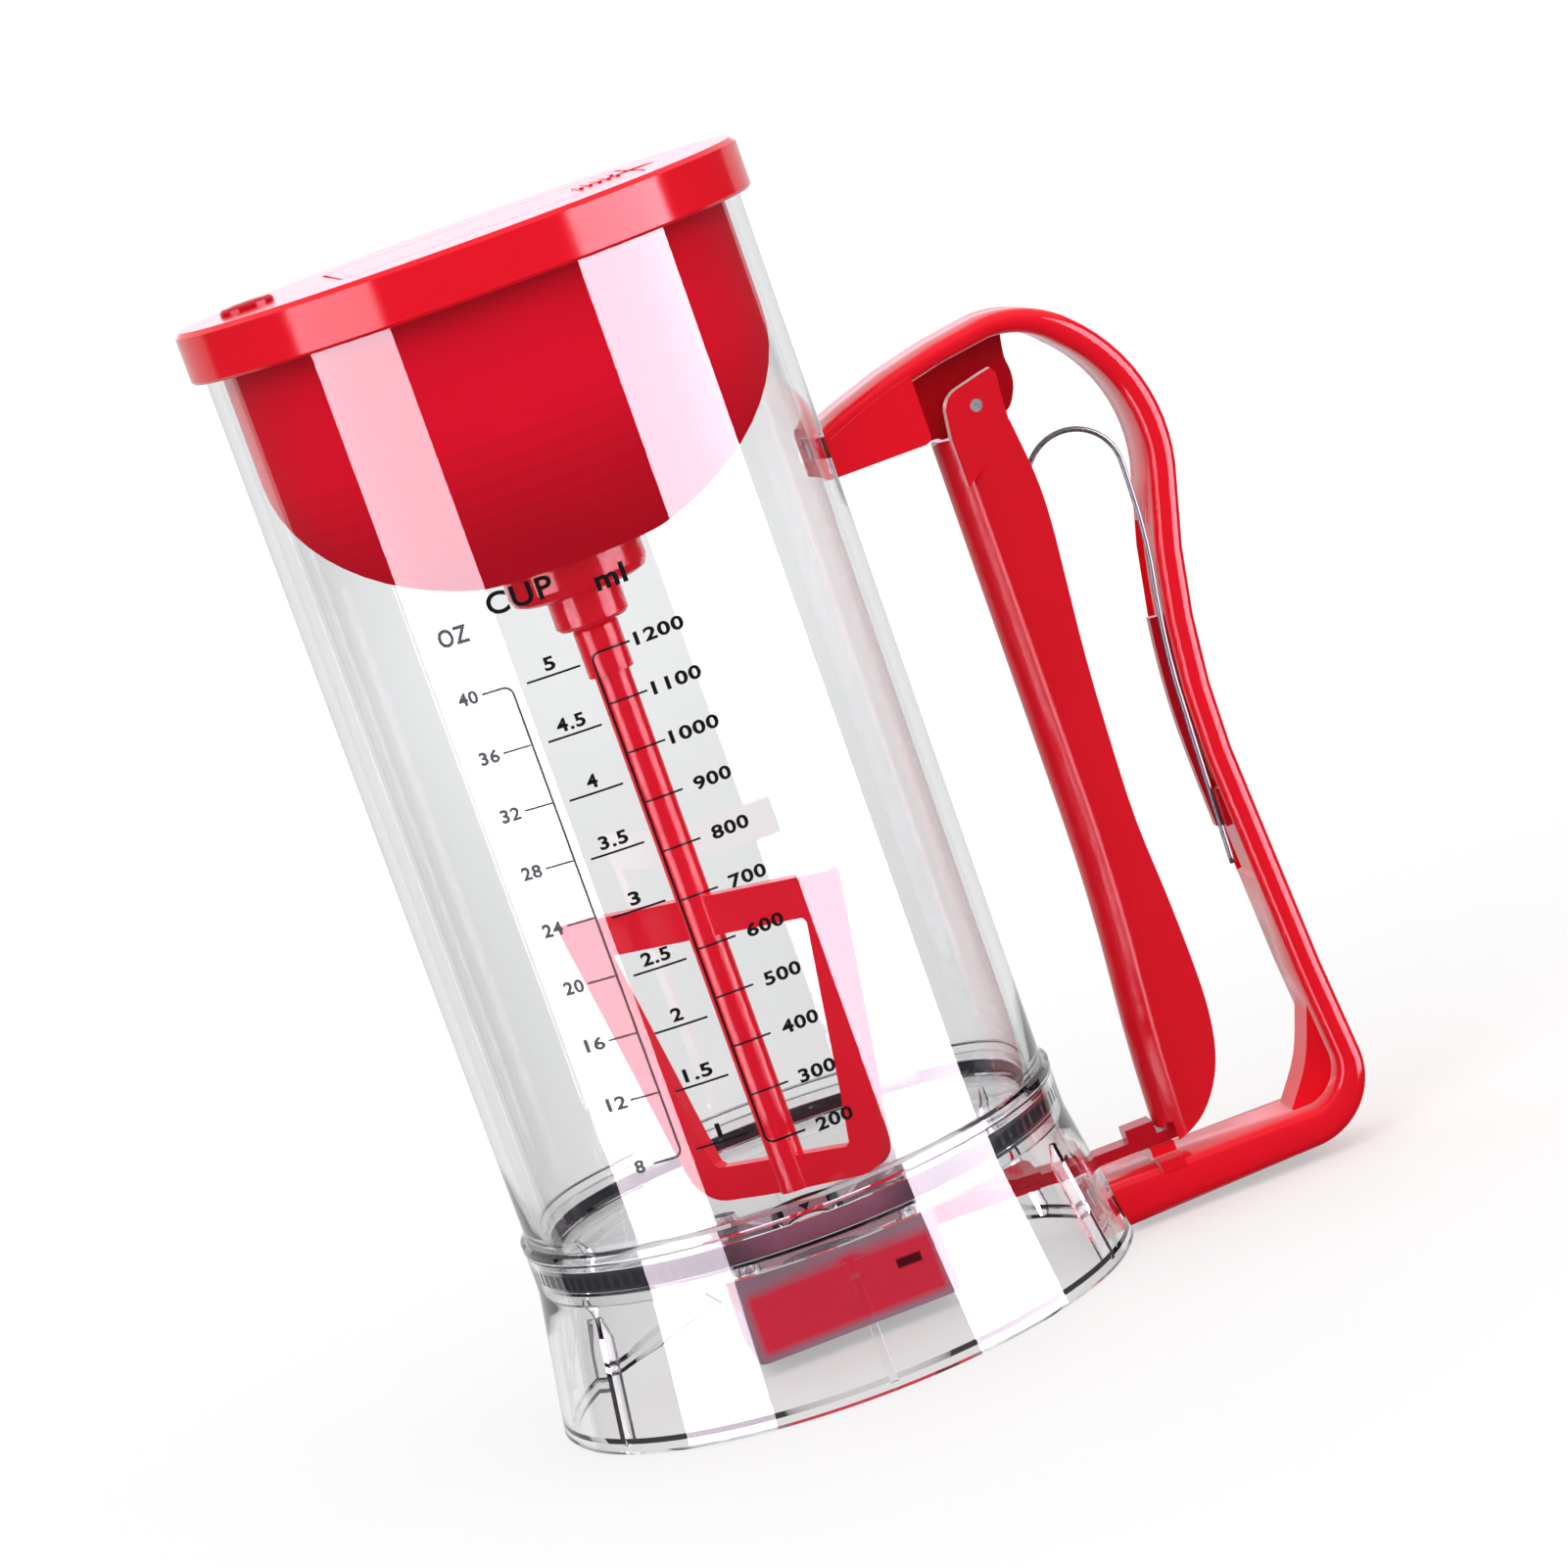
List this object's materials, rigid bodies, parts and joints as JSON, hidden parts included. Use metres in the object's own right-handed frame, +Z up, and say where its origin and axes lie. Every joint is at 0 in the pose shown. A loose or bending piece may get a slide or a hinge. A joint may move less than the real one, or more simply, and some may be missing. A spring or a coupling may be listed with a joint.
{
  "type": "pancake batter mixer and dispenser",
  "caption": "Clear measuring jug on a flared foot with a powered mixing lid, a slide valve under its funnel floor and a D handle whose trigger opens the valve.",
  "frame": {"origin": "centre of the foot's ring on the worktop, on the jug's axis", "axes": "+Z up along the jug's axis, +X towards the handle, -Y the side with the measuring scale"},
  "size_m": [0.1894, 0.1274, 0.2464],
  "materials": {
    "clear_plastic": "clear, polished, faintly ribbed by moulding",
    "red_plastic": "glossy moulded red",
    "deep_red_plastic": "glossy moulded deep red",
    "seal_rubber": "matt black",
    "steel": "bright",
    "spring_wire": "drawn wire",
    "contact_metal": "nickel plated strip",
    "dark_plastic": "fine grain",
    "cell_sleeve": "plain printed sleeve",
    "motor_can": "zinc plated can",
    "board": "lacquered laminate",
    "wire_sleeve": "smooth sleeve",
    "bush_brass": "turned"
  },
  "bodies": {
    "stand": {"jug": "clear_plastic", "base_skirt": "clear_plastic", "seal_ring": "seal_rubber", "valve_housing": "deep_red_plastic", "valve_seal": "seal_rubber", "valve_screws": "steel", "handle": "red_plastic", "handle_screws": "steel", "pivot_pin": "steel", "spring_keeper": "deep_red_plastic", "return_spring": "spring_wire"},
    "trigger": {"trigger": "red_plastic"},
    "slider": {"valve_gate": "deep_red_plastic", "pull_rod": "deep_red_plastic"},
    "lid": {"lid_cover": "red_plastic", "motor_bowl": "red_plastic", "lid_screws": "steel", "battery_tray": "dark_plastic", "battery_1": "cell_sleeve", "battery_2": "cell_sleeve", "battery_3": "cell_sleeve", "battery_4": "cell_sleeve", "contact_springs": "contact_metal", "contact_plates": "contact_metal", "motor": "motor_can", "motor_clamp": "dark_plastic", "clamp_screws": "steel", "switch_board": "board", "switch_body": "dark_plastic", "board_screws": "steel", "wires": "wire_sleeve", "nose_bush": "bush_brass", "shaft_seal": "seal_rubber"},
    "hatch": {"battery_hatch": "red_plastic"},
    "button": {"switch_button": "deep_red_plastic"},
    "drive": {"drive_spindle": "steel", "drive_collar": "red_plastic", "paddle": "red_plastic"}
  },
  "joints": [
    {"name": "trigger_squeeze", "type": "hinge", "parent": "stand", "child": "trigger", "pos_m": [0.0893, 0, 0.1755], "axis": [0, -1, 0], "range_deg": [0, 5], "stiffness_Nm_per_rad": 7, "springref_deg": -3.44, "deforming": ["return_spring"]},
    {"name": "valve_slide", "type": "slide", "parent": "stand", "child": "slider", "axis": [1, 0, 0], "range_m": [0, 0.0138]},
    {"name": "lid_lift", "type": "slide", "parent": "stand", "child": "lid", "axis": [0, 0, 1], "range_m": [0, 0.22]},
    {"name": "hatch_lift", "type": "slide", "parent": "lid", "child": "hatch", "axis": [0, 0, 1], "range_m": [0, 0.03]},
    {"name": "button_press", "type": "slide", "parent": "lid", "child": "button", "axis": [0, 0, -1], "range_m": [0, 0.001], "stiffness_N_per_m": 1500, "springref_m": -0.0005},
    {"name": "paddle_spin", "type": "hinge", "parent": "lid", "child": "drive", "pos_m": [0, 0, 0.16], "axis": [0, 0, 1], "continuous": true}
  ],
  "couplings": [
    {"joint": "valve_slide", "follows": "trigger_squeeze", "m_per_rad": 0.1579}
  ]
}
